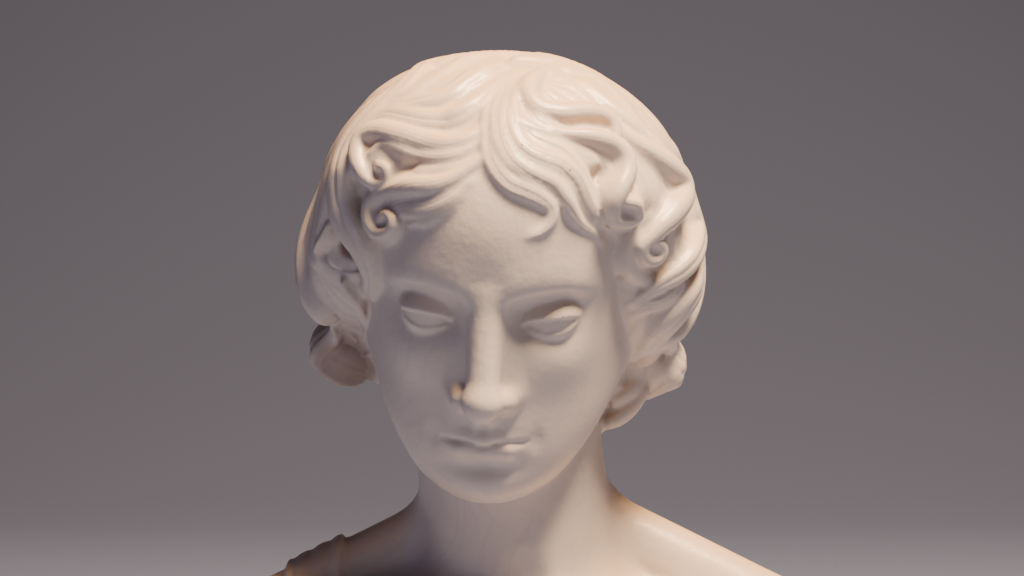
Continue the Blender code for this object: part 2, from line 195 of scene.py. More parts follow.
def eye(m):
    """Eyeball with a lid above and below, looking down."""
    q = m - EYE
    x = q[:, 0] * math.cos(EYE_TURN) + q[:, 1] * math.sin(EYE_TURN)
    y = q[:, 1] * math.cos(EYE_TURN) - q[:, 0] * math.sin(EYE_TURN)
    z = q[:, 2] - 0.05 * x
    half = 15.5
    share = np.clip(np.abs(x) / half, 0, 1)
    upper = 3.6 * (1 - share ** 2.2) - 0.5
    lower = -4.8 * (1 - share ** 2.0) - 0.5
    inside = np.minimum(ramp(upper - z, -0.6, 0.6), ramp(z - lower, -0.6, 0.6))
    inside = inside * (1 - ramp(np.abs(x), half - 2.5, half))
    lid = np.where(z > -0.5, 2.0 + 0.6 * hump(z, upper + 1.3, 1.8), 1.5)
    lid = lid * (1 - 0.5 * ramp(x, 6, 16))
    return egg(np.column_stack([x, y, z]), (0, 0, 0), (16.5, 13.5, 13)) - lid * (1 - inside)


# %% [markdown]
# The nose is straight from the brow, as on Greek heads: a ridge, two sides, a tip
# and a wing each side. The lips are rods that taper to the corners.

# %% Nose and lips
def nose(m):
    d = limb(m, (0, -85, 15), (0, -102.5, -36), 7.5, 8.2)
    d = join(d, limb(m, (5.5, -78, 8), (11, -84, -38), 7.0, 8.5), 12)
    d = join(d, egg(m, (0, -103.5, -39), (9.5, 9.0, 8.0)), 7)
    d = join(d, egg(m, (12, -90.5, -41), (6.0, 9.0, 6.5)), 5)
    return join(d, limb(m, (0, -103, -43.5), (0, -90, -47.5), 3.8, 4.5), 4)


def lips(m):
    upper = limb(m, (4.5, -91.8, -63.2), (25, -81.5, -67), 4.4, 2.0)
    upper = join(upper, egg(m, (0, -92.8, -64.6), (5, 4.4, 3.6)), 4)
    under = limb(m, (0, -90.0, -72.3), (12, -88.0, -71.6), 5.6, 5.0)
    under = join(under, limb(m, (12, -88.0, -71.6), (24, -81.5, -68), 5.0, 2.0), 4)
    return upper, under


# %% [markdown]
# The brow is a ridge that is soft above and tighter below. The socket is a hollow
# pressed in with humps, and the eye is joined into it with a thin crease.

# %% The whole face
def face(p):
    m = mirrored(p)
    x, y, z = m.T
    d = egg(m, *SKULL)
    d = join(d, egg(m, (0, -4, -28), (71, 80, 55)), 30)
    d = join(d, egg(m, (0, -44, -63), (48, 40, 39)), 34)
    d = join(d, limb(m, (50, -12, -42), (24, -62, -84), 15, 15), 30)
    d = join(d, egg(m, (0, -74, -93), (23, 17, 16)), 20)
    front = ramp(-y, 25, 50)
    arch = 12 + 8.5 * np.sin(np.pi * np.clip((x - 2) / 62, 0, 1)) - 0.05 * np.maximum(x - 40, 0)
    rise = z - arch
    edge = np.where(rise > 0, hump(rise, 0, 14), hump(rise, 0, 6.5))
    d = d - front * 3.2 * edge * ramp(x, 0, 16) * (1 - ramp(x, 44, 66))
    d = d - front * 2.4 * hump(x, 0, 12) * hump(z, 14, 14)
    d = d + front * 8.5 * hump(x, 30, 16.5) * hump(z, 1, 10.5)
    d = d + front * 2.6 * hump(x, 16, 7) * hump(z, 3, 10)
    d = join(d, eye(m), 2.2)
    d = d - front * 3.0 * hump(x, 42, 17) * hump(z, -24, 16)
    d = join(d, nose(m), 6)
    d = cut(d, egg(m, (6.4, -96.5, -48.2), (3.0, 5.5, 3.2)), 2)
    d = d - front * 4.5 * hump(x, 0, 26) * hump(z, -65, 17)
    upper, under = lips(m)
    d = join(d, upper, 3)
    d = join(d, under, 3)
    line = -67.4 + 0.9 * hump(x, 10, 6) - 0.7 * hump(x, 0, 4)
    d = d + front * 1.3 * hump(z, line, 1.5) * (1 - ramp(x, 20, 27))
    d = d + front * 1.2 * hump(x, 28, 3.5) * hump(z, -67, 7)
    d = d - front * 1.8 * hump(x, 0, 10) * hump(z, -55, 5)
    d = d + front * 1.0 * hump(x, 0, 3) * ramp(z, -61, -57) * (1 - ramp(z, -52, -47))
    d = d + front * 2.4 * hump(z, -82.5, 5.5) * hump(x, 0, 20)
    return d - front * 1.5 * hump(z, -97, 11) * hump(x, 0, 15)


print("face at the chin, in parts", np.round(face(np.array([[0, -91.0, -93]])), 1))

# %% [markdown]
# ## Neck, shoulders and chest
# The neck leans forward from the shoulders to the bowed head. Two long muscles run
# from behind the ears to the pit of the neck, and the collarbones start there. The
# photograph ends at the shoulders, so the chest below is plain and stops at a flat
# cut to stand on. A narrow band of cloth crosses the right shoulder.

# %% The body
STRAP_WIDTH = 0.036
STRAP_THICKNESS = 0.004


def strap(p):
    """How far the band of cloth stands out, front and back."""
    x, _, z = p.T
    across = x + 122 - 0.35 * np.clip(104 - z, 0, 110)
    raised = ramp(STRAP_WIDTH / PART / 2 - np.abs(across), 0, 3)
    folds = 0.5 + 0.5 * np.cos(across * 0.62 + 1.1)
    return raised * (STRAP_THICKNESS / PART - 0.9 * folds ** 2)


def body(p):
    m = mirrored(p)
    d = egg(m, (0, 6, 22), (134, 86, 96))
    d = join(d, egg(m, (0, 10, 66), (160, 58, 46)), 30)
    d = join(d, egg(m, (58, -34, 26), (60, 46, 58)), 30)
    d = join(d, egg(m, (72, 50, 36), (54, 32, 60)), 30)
    d = join(d, limb(m, (150, 10, 62), (160, 6, -60), 40, 36), 18)
    d = join(d, limb(p, (0, 24, 90), (-13, -6, 230), 58, 51), 24)
    d = join(d, limb(m, (40, 26, 150), (140, 16, 100), 17, 18), 18)
    for side in (-1, 1):
        ear = from_head((side * 44, 10, -40))
        d = join(d, limb(p, ear, (side * 8, -34, 112), 11, 6), 18)
    d = join(d, limb(m, (10, -40, 108), (72, -34, 108), 6, 5), 12)
    d = join(d, limb(m, (72, -34, 108), (146, -4, 98), 5, 6), 14)
    d = cut(d, egg(p, (0, -56, 120), (11, 16, 14)), 12)
    return d - strap(p)


# %% [markdown]
# ## The hair as a swelling
# Carved hair starts as one smooth swelling over the skull, fuller over the ears and
# rolled at the nape, with a bun behind each ear. The locks are laid on it
# afterwards. Outward is the way in which the distance from it grows fastest.

# %% The hairline
# Degrees up, and degrees round from the nose at which the hair starts there.
HAIRLINE_RIGHT = [(-60, -75), (-45, -64), (-30, -56), (-15, -49), (-5, -46), (5, -46),
                  (14, -46), (22, -40), (27, -26), (33, -13), (38, -6), (45, -3), (60, -2)]
HAIRLINE_LEFT = [(-60, 72), (-45, 62), (-30, 56), (-20, 53), (-8, 51), (2, 48),
                 (12, 44), (19, 37), (24, 24), (30, 12), (36, 6), (45, 4), (60, 2)]


def onto_skin(p):
    """Degrees past the hairline toward the face, and how far up."""
    x, y, z = ((p - SHELL_CENTRE) / SHELL_RADII).T
    up = np.degrees(np.arctan2(z, np.hypot(x, y)))
    around = np.degrees(np.arctan2(x, -y))
    right = np.interp(up, *np.array(HAIRLINE_RIGHT, float).T)
    left = np.interp(up, *np.array(HAIRLINE_LEFT, float).T)
    return np.where(around < 0, around - right, left - around), up


# %% The swelling
SHELL_CENTRE = vec(-2, 8, 22)
SHELL_RADII = vec(101, 91, 92)
BUN_RIGHT = to_head(vec(-103, 30, 247))
BUN_LEFT = to_head(vec(72, 30, 238))
HAIRLINE_SINK = 10.0


def hair_base(q):
    d = egg(q, SHELL_CENTRE, SHELL_RADII)
    d = join(d, egg(q, (-70, 12, -6), (42, 50, 43)), 14)
    d = join(d, egg(q, (68, 10, -4), (38, 48, 45)), 14)
    d = join(d, egg(q, (0, 52, -46), (76, 42, 36)), 16)
    d = join(d, egg(q, BUN_RIGHT, (17, 19, 16)), 8)
    d = join(d, egg(q, BUN_LEFT, (16, 18, 19)), 8)
    past, up = onto_skin(q)
    return d + HAIRLINE_SINK * ramp(past, -30, -2) * (1 - ramp(up, 48, 62))


def outward(spots):
    d = hair_base(spots)
    slope = np.stack([hair_base(spots + 0.5 * axis) - d for axis in np.eye(3)], 1)
    return slope / length(slope)[:, None]


# %% [markdown]
# A lock is drawn as a flat curve and then laid on the swelling. Most are drawn on
# the front view, in parts right and up, and thrown onto the swelling from the place
# where the viewer stands. Those of the sides and back are drawn in degrees round
# from the nose and up. The third number of each point is its lift off the swelling.

# %% From a drawing to the swelling
VIEW_POINT = vec(-8, -1384, 283)
DRAWING_PLANE = HEAD_SEAT[1]


def first_stone(spots):
    """The first place inside the stone along each row, or the nearest to it."""
    flat = spots.reshape(-1, 3)
    d = np.minimum(hair_base(flat), egg(flat, *SKULL)).reshape(spots.shape[:2])
    row = np.arange(len(spots))
    hit = (d < 0).any(1)
    last = np.maximum(np.where(hit, np.argmax(d < 0, axis=1), np.argmin(d, axis=1)), 1)
    share = np.where(hit, d[row, last - 1] / (d[row, last - 1] - d[row, last]), 1)
    found = spots[row, last - 1] + share[:, None] * (spots[row, last] - spots[row, last - 1])
    return found - np.where(hit, 0, d[row, last])[:, None] * outward(found)


def from_front(path):
    far = np.linspace(0.88, 1.12, 110)[None, :, None]
    plane = np.column_stack([path[:, 0], np.full(len(path), DRAWING_PLANE), path[:, 1]])
    rays = VIEW_POINT + (plane - VIEW_POINT)[:, None, :] * far
    return first_stone(to_head(rays.reshape(-1, 3)).reshape(rays.shape))


def from_around(path):
    a = np.radians(path[:, 0])
    e = np.radians(path[:, 1])
    ray = np.stack([np.sin(a) * np.cos(e), -np.cos(a) * np.cos(e), np.sin(e)], 1)
    scales = np.linspace(1.6, 0.7, 91)[None, :, None]
    return first_stone(SHELL_CENTRE + (SHELL_RADII * ray)[:, None, :] * scales)


# %% [markdown]
# ## A lock
# A lock is a band along its curve, fine at both ends, with grooves along it that
# part its strands. Its top is rounded and its sides lean out a little on the way
# down, because a chisel clears the stone beside a lock but hardly ever under it.
# Many locks end in a volute, the spiral that marble curls are cut to.

# %% Curves and volutes
def volute(x, y, radius, start, turns, lift, tight=0.3, stretch=1.0):
    made = []
    count = max(4, int(abs(turns) * 9))
    for i in range(count + 1):
        share = i / count
        angle = math.radians(start + 360 * turns * share)
        r = radius * (1 + (tight - 1) * share)
        made.append((x + r * math.cos(angle) * stretch, y + r * math.sin(angle), lift))
    return made


def ring(around, up, radius, start, turns, lift, tight=0.3):
    """A volute drawn in degrees, as wide as it is high."""
    stretch = 1 / max(math.cos(math.radians(up)), 0.3)
    return volute(around, up, radius, start, turns, lift, tight, stretch)


def curve_through(points):
    p = np.array(points, float)
    p = np.vstack([2 * p[0] - p[1], p, 2 * p[-1] - p[-2]])
    made = []
    for i in range(1, len(p) - 2):
        a, b, c, d = p[i - 1:i + 3]
        for t in np.linspace(0, 1, 8, endpoint=False):
            bend = (2 * a - 5 * b + 4 * c - d) * t * t + (3 * b - a - 3 * c + d) * t ** 3
            made.append(0.5 * (2 * b + (c - a) * t + bend))
    made.append(p[-2])
    return np.array(made)


def evened(line, spacing):
    gone = np.concatenate([[0], np.cumsum(length(np.diff(line[:, :3], axis=0)))])
    count = max(8, int(gone[-1] / spacing))
    even = np.linspace(0, gone[-1], count)
    return np.column_stack([np.interp(even, gone, column) for column in line.T])


# %% Locks along a curve
# How far a lock's sides run down, how much they lean out, and how full it is.
WALL = 3.0
DRAFT = 0.5
FULLNESS = 1.3
CURVE_STEP = 2.5


def lock(line, out, skirt, wide, high, strands, tip, taper):
    every = evened(np.column_stack([line, out, skirt]), CURVE_STEP)
    line, out, skirt = every[:, :3], every[:, 3:6], every[:, 6]
    t = np.linspace(0, 1, len(line))
    size = 0.55 + 0.45 * ramp(t, 0, 0.25)
    size = size * (tip + (1 - tip) * (1 - ramp(t, 1 - taper, 1)))
    along = np.gradient(line, axis=0)
    along = along / length(along)[:, None]
    side = np.cross(out, along)
    side = side / length(side)[:, None]
    tall = high * (0.35 + 0.65 * size)
    return {"line": line, "along": along, "out": np.cross(along, side), "side": side,
            "wide": FULLNESS * wide * size, "high": tall, "skirt": skirt, "strands": strands,
            "uneven": line[0, 0] + line[0, 2]}


def laid(seats, lifts, *size):
    out = outward(seats)
    line = seats + lifts[:, None] * out
    for _ in range(3):
        line[1:-1] = 0.25 * line[:-2] + 0.5 * line[1:-1] + 0.25 * line[2:]
        out[1:-1] = 0.25 * out[:-2] + 0.5 * out[1:-1] + 0.25 * out[2:]
    return lock(line, out, np.maximum(lifts, 0) + WALL, *size)


def on_front(points, wide, high, strands=2, tip=0.3, taper=0.35):
    path = curve_through(points)
    return laid(from_front(path), path[:, 2], wide, high, strands, tip, taper)


def on_head(points, wide, high, strands=3, tip=0.3, taper=0.35):
    path = curve_through(points)
    return laid(from_around(path), path[:, 2], wide, high, strands, tip, taper)


def hanging(points, wide, high, strands=2, tip=0.3, taper=0.35):
    line = curve_through([to_head(vec(*point)) for point in points])
    return lock(line, outward(line), np.zeros(len(line)), wide, high, strands, tip, taper)


# %% [markdown]
# ## Dressing the hair
# Flat locks fill the sides, waved locks run down the back in step and curl at the
# nape, and the show locks go over them. They leave the parting as broad waves, curl
# on the temples, and on the left of the parting fall low on the brow.

# %% Filling locks and the back
def under_locks():
    made = []
    ends = 24, 8, -14, -30, -34
    for side in (-1, 1):
        for k, end in enumerate(ends):
            turn = 40 + 17 * k
            path = [(side * turn * 0.35, 76, 0),
                    (side * turn * 0.75, 62, 0),
                    (side * (turn - 3), 44, 0),
                    (side * (turn + 4), (44 + end) / 2, 0),
                    (side * turn, end + 4, 0)]
            made.append(on_head(path, 10, 3.0, 4, 0.5, 0.2))
    return made


def back_locks():
    made = []
    for k in range(10):
        turn = 112 + 15.1 * k
        sway = 4
        path = [(turn + 2, 68, 0),
                (turn + sway, 50, 1),
                (turn - sway, 31, 2),
                (turn + sway, 11, 2.5),
                (turn - sway, -8, 2.5),
                (turn + sway, -24, 2.5)]
        way = 1 if k < 5 else -1
        made.append(on_head(path + ring(turn, -40, 8, 90, 1.1 * way, 2), 12.5, 4.5, 4, 0.4))
    return made


# %% [markdown]
# The figure's right side. Four waves come off the crown. One lock curls round an
# eye-shaped hollow and ends in a small volute, a second volute lies below it, and a
# broad lock sweeps over the ear to the cheek.

# %% Show locks, the figure's right
def right_crown():
    return [
        on_front([(-15, 396, 0), (-24, 388, 1), (-33, 381, 1.5), (-43, 376, 2), (-54, 375, 2),
                  (-65, 377, 2), (-75, 379, 1.5), (-84, 376, 1)], 5.2, 4, 2, 0.5, 0.25),
        on_front([(-15, 407, 0), (-25, 402, 1), (-34, 396, 1.5), (-41, 390, 2), (-50, 386, 2),
                  (-62, 384, 1.5), (-72, 383, 1)], 4.8, 4, 2, 0.5, 0.25),
        on_front([(-23, 412, 0), (-35, 409, 1), (-45, 402, 1.5), (-54, 396, 1.5),
                  (-63, 389, 1.5), (-73, 384, 1), (-83, 378, 1)], 4.5, 3, 2, 0.5, 0.25),
        on_front([(-40, 412, 0), (-53, 407, 1.5), (-61, 400, 2), (-68, 392, 2), (-77, 386, 1.5),
                  (-87, 377, 1), (-93, 369, 1)], 5, 3.5, 2, 0.5, 0.25),
    ]


def right_temple():
    return [
        on_front([(-24, 372, -1), (-34, 365, 1), (-46, 362, 2.5), (-58, 364, 3.5), (-70, 367, 4),
                  (-80, 369, 4), (-88, 366, 4), (-91.5, 359, 4), (-91, 351, 4), (-87, 345, 3.5),
                  (-81, 342.5, 3), (-76, 345, 2.5), (-76.5, 350, 2),
                  (-80, 351, 1.5)], 5.2, 5, 1, 0.5, 0.5),
        on_front([(-28, 363, -1), (-40, 356, 1.5), (-52, 355, 2.5), (-62, 357, 3),
                  (-71, 360.5, 3), (-79, 361.5, 2.5), (-84, 357, 2)], 3.8, 3.5, 1, 0.6),
        on_front([(-60, 351, -1), (-70, 352, -0.5), (-80, 355, 0), (-87, 357, 0)], 6, 3, 1, 0.9),
        on_front([(-34, 352, -1), (-45, 348, 1), (-57, 346, 1.5),
                  (-67, 346, 0)], 3.8, 3, 1),
        on_front([(-27, 354, -1), (-38, 345, 1), (-48, 340, 2.5), (-59, 339, 3.5), (-70, 339.5, 4),
                  (-79, 336.5, 4), (-84, 329, 4), (-84, 320, 4), (-79, 314, 4), (-73, 315.5, 4),
                  (-71.5, 321, 4), (-75, 324.5, 3.5), (-78.5, 322, 3)], 4.8, 5, 1, 0.55, 0.6),
        on_front([(-33, 342, -1), (-43, 333, 0.5), (-54, 328, 1), (-64, 326, 1),
                  (-71, 325, 0.5)], 4.4, 3.5, 2, 0.5),
        on_front([(-36, 334, -2), (-45, 327, -1), (-55, 322, -0.5), (-64, 319, -0.5)], 3.6, 3, 1),
        on_front([(-40, 339, -1), (-54, 334, 0.5), (-67, 332, 1.5), (-76, 328, 1.5),
                  (-77, 321, 1.5)], 6, 3, 1, 0.9),
    ]


def right_side():
    return [
        on_front([(-57, 403, 0), (-69, 394, 0.5), (-82, 382, 1), (-94, 369, 1), (-101, 356, 1),
                  (-103, 341, 2), (-101, 329, 3), (-97, 319, 3.5), (-91, 309, 3.5),
                  (-88, 300, 2.5), (-86, 290, 1), (-88, 282, -1)], 8.5, 5, 2, 0.6, 0.3),
        on_head([(-92, 42, -2), (-98, 28, -2), (-101, 14, -1), (-99, 1, 0), (-95, -9, 1),
                 (-90, -18, 2), (-86, -25, 3), (-83, -30, 3)], 7.5, 6, 1, 1.1, 0.2),
        on_front([(-110, 318, 1), (-112, 311, 2), (-116, 305, 2)], 2.2, 2.5, 1, 0.4, 0.4),
        on_front([(-101, 287, 2), (-97, 281, 3), (-92, 275, 3), (-89, 267, 2),
                  (-88, 260, 0)], 3, 3, 1, 0.5, 0.3),
        on_head([(-112, 20, 3), (-112, 0, 4), (-108, -20, 4), (-100, -34, 3),
                 (-100, -40, 2)] + ring(-104, -48, 7, 90, 1.2, 2), 8, 5),
    ]


# %% [markdown]
# The figure's left side. Five strands fall toward the brow, and the first hooks at
# its end. Above them lie three waves, a thin hook, a thick one and a broad wave that
# ends in a ring round a knob. A second ring lies beside the ear, with bands outside.

# %% Show locks, the figure's left
def left_brow():
    return [
        on_front([(-16, 395, -1), (-19, 384, -0.5), (-20, 376, -0.5), (-20, 368, -0.5),
                  (-20, 359, -0.5), (-16, 349, 0), (-9, 341, 0), (0, 337, 0.5), (8, 333, 0.5),
                  (14, 327, 0.5), (13, 319, 0), (8, 314, -1), (2, 312, -2.5)], 4.8, 4.5),
        on_front([(-11, 394, 0), (-14, 386, 0.5), (-15, 376, 1), (-14, 364, 1.5),
                  (-9, 354, 2), (-1, 348, 2.5), (8, 344, 2.5), (16, 340, 2.5), (21, 333, 2.5),
                  (25, 325, 1), (30, 319, -0.5), (36, 315, -1), (41, 310, -2.5)], 4.6, 4.5),
        on_front([(-7, 392, 0.5), (-10, 382, 1.5), (-9, 372, 2), (-5, 362, 2.5), (2, 356, 3),
                  (11, 352, 3.5), (19, 349, 3.5), (26, 343, 3), (31, 334, 2), (35, 326, 1),
                  (39, 322, -0.5)], 5.4, 5, 3, 0.75, 0.3),
        on_front([(-3, 393, 0), (-2, 382, 1), (4, 373, 1.5), (14, 367, 2), (24, 362, 2),
                  (33, 355, 2)], 7, 3.5, 1, 0.7),
        on_front([(-4, 372, 1), (3, 365, 2), (11, 361, 2.5), (19, 357, 3), (25, 350, 3.5),
                  (31, 343, 2), (35, 335, 0)], 4.4, 3.8, 2, 0.4, 0.3),
    ]


def left_waves():
    return [
        on_front([(-7, 408, 0), (7, 405, 1), (20, 398, 1.5), (32, 389, 1.5),
                  (43, 379, 1)], 4.5, 2.5, 3, 0.5, 0.25),
        on_front([(-5, 411, 0), (19, 408, 1), (38, 399, 1), (53, 385, 1), (65, 369, 0.5),
                  (72, 357, -1)], 5.5, 3, 3, 0.3, 0.5),
        on_front([(4, 400, 1), (-3, 393, 2), (-7, 385, 3), (-5, 377, 3.5), (3, 371, 3.5),
                  (13, 367, 3), (20, 363, 1.5)], 3, 3.5, 1, 0.5, 0.3),
        on_front([(9, 402, 0.5), (2, 395, 2), (1, 387, 3.5), (7, 380, 4), (18, 377, 4.5),
                  (28, 378, 4.5), (38, 377, 4.5), (45, 373, 4),
                  (48, 367, 2.5)], 5, 6, 1, 0.6, 0.25),
        on_front([(22, 399, 0), (33, 392, 1.5), (43, 383, 2.5), (51, 376, 3.5), (57, 370, 4),
                  (61, 366, 3)], 4.6, 4.5, 1, 0.9, 0.2),
        on_front([(14, 369, 1.5), (22, 366, 3), (31, 364.5, 4.5), (40, 362.5, 5), (47, 359, 5.5),
                  (51.5, 353, 5.5), (52, 346, 5.5), (49.5, 340, 5.5), (46, 334.5, 6),
                  (45, 328, 6), (48.5, 323.5, 6.5), (54, 323.5, 7), (57.5, 328, 7),
                  (56.5, 333, 7), (52.5, 333.5, 6.5)], 5.0, 6.5, 1, 0.7, 0.4),
        on_front([(49, 330, 4.5), (52, 328.5, 5), (54, 329.5, 5)], 3.6, 4, 1, 1, 0.2),
    ]


def left_side():
    return [
        on_front([(48, 372, 1), (58, 363, 2.5), (68, 356, 4), (76, 349, 5), (82, 342, 5),
                  (83, 333, 5), (78, 325, 5), (71, 318, 5)]
                 + volute(67, 306, 6.2, 110, 0.95, 5, 0.8), 6, 6, 1, 0.5, 0.55),
        on_front([(66, 322, 1), (60, 314, 1), (57, 305, 1), (58, 296, 1.5), (64, 289, 1.5),
                  (73, 287, 2)], 5, 3.5, 1, 0.6),
        on_front([(58, 290, 0), (59, 280, 1), (61, 270, 1.5), (63, 260, 1.5),
                  (62, 250, 1)], 6, 3, 1, 0.7),
        on_front([(68, 366, 1), (77, 353, 3), (85, 342, 4), (90, 330, 4), (92, 318, 4.5),
                  (91, 306, 5), (87, 298, 5), (81, 292, 4.5), (73, 287, 4), (66, 282, 3),
                  (60, 277, 2)], 5.5, 4.5, 2, 0.6, 0.3),
        on_front([(8, 411, 0), (30, 406, -1.5), (49, 393, -2), (65, 377, -1.5), (77, 360, -1),
                  (87, 343, 0), (93, 329, 1), (96, 314, 1.5), (97, 301, 1.5),
                  (95, 291, 1)], 7, 4.5, 3, 0.6, 0.2),
        on_front([(94, 298, 2), (91, 284, 3.5), (84, 274, 4), (76, 266, 4.5), (69, 258, 4),
                  (64, 251, 3.5), (60, 245, 2.5)], 8, 5, 2, 0.7, 0.2),
        on_front([(84, 285, 2), (75, 278, 3), (66, 275, 3), (60, 271, 2)], 4.5, 4, 2, 0.5, 0.3),
        on_front([(65, 271, 2), (61, 262, 2.5), (58, 253, 2), (57, 245, 1)], 4, 3.5, 2, 0.5, 0.3),
        on_front([(87, 260, 1), (86, 248, 2), (83, 238, 2), (76, 229, 1.5),
                  (68, 224, 1)], 5, 3, 2, 0.6, 0.2),
        on_front([(77, 258, 2), (76, 248, 2.5), (72, 239, 2.5), (66, 232, 2),
                  (62, 225, 1)], 5, 3, 2, 0.6, 0.2),
        on_head([(104, 24, 3), (108, 6, 4), (106, -10, 4), (98, -24, 5), (86, -33, 5),
                 (76, -36, 4)], 8, 5, 2, 0.9),
        on_head([(112, 0, 3), (112, -18, 4), (106, -34, 4), (96, -44, 4),
                 (86, -46, 4)] + ring(86, -52, 7, 90, 1.1, 3), 8, 5),
        hanging([(66, 22, 238), (66, 12, 226), (60, 6, 215), (52, 4, 208), (46, 5, 207),
                 (43, 7, 210)], 4.6, 5.5, 1, 0.8),
        hanging([(61, 2, 250), (61, 6, 240), (59, 9, 231)], 7, 6, 1, 1, 0.2),
        hanging([(64, 16, 240), (62, 8, 231), (58, 4, 223), (52, 3, 219)], 5, 5, 1, 0.9),
    ]


FILLING = under_locks() + back_locks()
SHOWN = (right_crown() + right_temple() + right_side()
         + left_brow() + left_waves() + left_side())
LOCKS = FILLING + SHOWN
print("locks", len(LOCKS))

# %% [markdown]
# The swelling stops at a hairline, high in the middle and low at the temples.
# Elsewhere it is only combed. Combed hair leaves the parting on both sides and fans
# out at its ends, as the lines of force round a bar do. The difference of a point's
# distances to the two ends of the parting is the same all along such a line, so it
# numbers the strands. Between the locks the chisel has gone deeper.

# %% The hairline and the combed crown
PARTING_FRONT = vec(0, -70, 72)
PARTING_WHORL = vec(0, 52, 103)
COMBED_STRANDS = 30
# Right and up on the front view, how far the middle lies off the swelling, and half
# sizes across, deep and high. The middle lies outside, so the skin can reach the bottom.
HOLLOWS = [(-101, 303, 6, 17, 34, 13), (-95, 332, 3, 5, 8, 18), (-74, 353, 3, 9, 6, 4.5),
           (39, 342, 4, 8, 9, 12), (88, 314, 3, 6, 7, 8)]
DUG = []
for x, z, off, wide, deep, tall in HOLLOWS:
    spot = from_front(np.array([[x, z, 0.0]]))
    DUG.append(((spot + off * outward(spot))[0], (wide, deep, tall)))


def rounded_strands(number):
    """0 on the back of a strand, rising to 1 in the crease beside it."""
    return (2 * np.abs(number - np.floor(number) - 0.5)) ** 3


def hair_cap(p):
    past, up = onto_skin(p)
    bare = ramp(past, -4, 3) * (up < 60)
    front = length(p - PARTING_FRONT)
    back = length(p - PARTING_WHORL)
    apart = length(PARTING_WHORL - PARTING_FRONT)
    beside = front + back - apart
    fan = np.arccos(np.clip((front - back) / apart, -1, 1)) / math.pi
    fan = fan + 0.012 * np.sin(0.12 * beside) + 0.006 * np.sin(0.31 * beside + 9 * fan)
    combed = 1.3 * rounded_strands(COMBED_STRANDS * fan) * ramp(beside, 8, 40) * (1 - bare)
    x, y, z = p.T
    parting = 2.5 * hump(x, 0, 5) * ramp(z, 50, 75) * (1 - ramp(y, 35, 60))
    return hair_base(p) + combed + parting + 40 * bare


# %% [markdown]
# ## Measuring the form
# Only a few locks are near any point, so the nearest stretch of each is looked up
# once and then measured four times: at the point, and a tenth of a part along each
# axis, which gives the slope. Four workers share the points.

# %% The nearest stretch of a lock
RUN = 8


def nearest(points, made, reach):
    line = made["line"]
    most = max(made["wide"].max(), made["high"].max(), made["skirt"].max() + 2) + reach
    close = ((points > line.min(0) - most) & (points < line.max(0) + most)).all(1)
    close = np.nonzero(close)[0]
    p = points[close]
    best = np.full(len(p), most * most)
    pick = np.full(len(p), -1)
    for i in range(0, len(line) - 1, RUN):
        a = line[i:i + RUN + 1][:-1]
        b = line[i:i + RUN + 1][1:]
        low = np.minimum(a, b).min(0) - most
        top = np.maximum(a, b).max(0) + most
        some = np.nonzero(((p > low) & (p < top)).all(1))[0]
        if not len(some):
            continue
        axis = b - a
        rel = p[some][:, None, :] - a[None]
        share = np.clip((rel * axis).sum(-1) / (axis * axis).sum(-1), 0, 1)
        near = rel - share[..., None] * axis
        far = (near * near).sum(-1)
        which = far.argmin(1)
        least = far[np.arange(len(some)), which]
        better = least < best[some]
        best[some[better]] = least[better]
        pick[some[better]] = which[better] + i
    kept = pick >= 0
    return close[kept], pick[kept]


# %% A lock's distance
def lock_place(points, made, k):
    """Shares of the lock's half width and height at some points, and its size there."""
    line = made["line"]
    a = line[k]
    axis = line[k + 1] - a
    rel = points - a
    share = np.clip((rel * axis).sum(-1) / (axis * axis).sum(-1), 0, 1)
    near = rel - share[:, None] * axis

    def mixed(name):
        v = made[name]
        t = share if v.ndim == 1 else share[:, None]
        return v[k] * (1 - t) + v[k + 1] * t

    high = mixed("high")
    skirt = mixed("skirt")
    rise = (near * mixed("out")).sum(-1)
    wide = mixed("wide") + DRAFT * np.clip(-rise, 0, skirt)
    across = (near * mixed("side")).sum(-1) / wide
    rise = np.where(rise > 0, rise, np.minimum(rise + skirt, 0)) / high
    ahead = (near * mixed("along")).sum(-1) / wide
    return across, rise, ahead, wide, high


def lock_field(points, made, k):
    across, rise, ahead, wide, high = lock_place(points, made, k)
    whole = np.sqrt(across * across + rise * rise + ahead * ahead)
    slope = np.sqrt((across / wide) ** 2 + (rise / high) ** 2 + (ahead / wide) ** 2)
    d = whole * (whole - 1) / np.maximum(slope, 1e-6)
    u = np.clip(across * 0.5 + 0.5, 0.001, 0.999)
    uneven = made["uneven"]
    u = u + 0.06 * (np.sin(2 * math.pi * u + uneven) - math.sin(uneven))
    depth = np.minimum(0.45 * wide / made["strands"], 1.1)
    return d + depth * rounded_strands(u * made["strands"]) * ramp(rise, -0.2, 0.4)


# %% The whole bust's distance and slope
PROBE = 0.1
WORKERS = 4
POINTS_AT_ONCE = 6000
HEAD_BOTTOM = 125.0
BODY_TOP = 300.0
# How wide each crease is.
LOCK_CREASE = 2.4
FILLING_CREASE = 3
LIP_CREASE = 3
SHOWN_CREASE = 3.5
HAIRLINE_CREASE = 4.5
NECK_CREASE = 8


def joined(q, locks, near):
    d = np.full(len(q), 1e3)
    for made, (close, k) in zip(locks, near):
        if len(close):
            d[close] = join(d[close], lock_field(q[close], made, k), LOCK_CREASE)
    return d


def head_field(q, near):
    d = join(hair_cap(q), joined(q, FILLING, near), FILLING_CREASE)
    for seat, radii in DUG:
        d = cut(d, hollow(q, seat, radii), LIP_CREASE)
    d = join(d, joined(q, SHOWN, near[len(FILLING):]), SHOWN_CREASE)
    return join(face(q), d, HAIRLINE_CREASE)


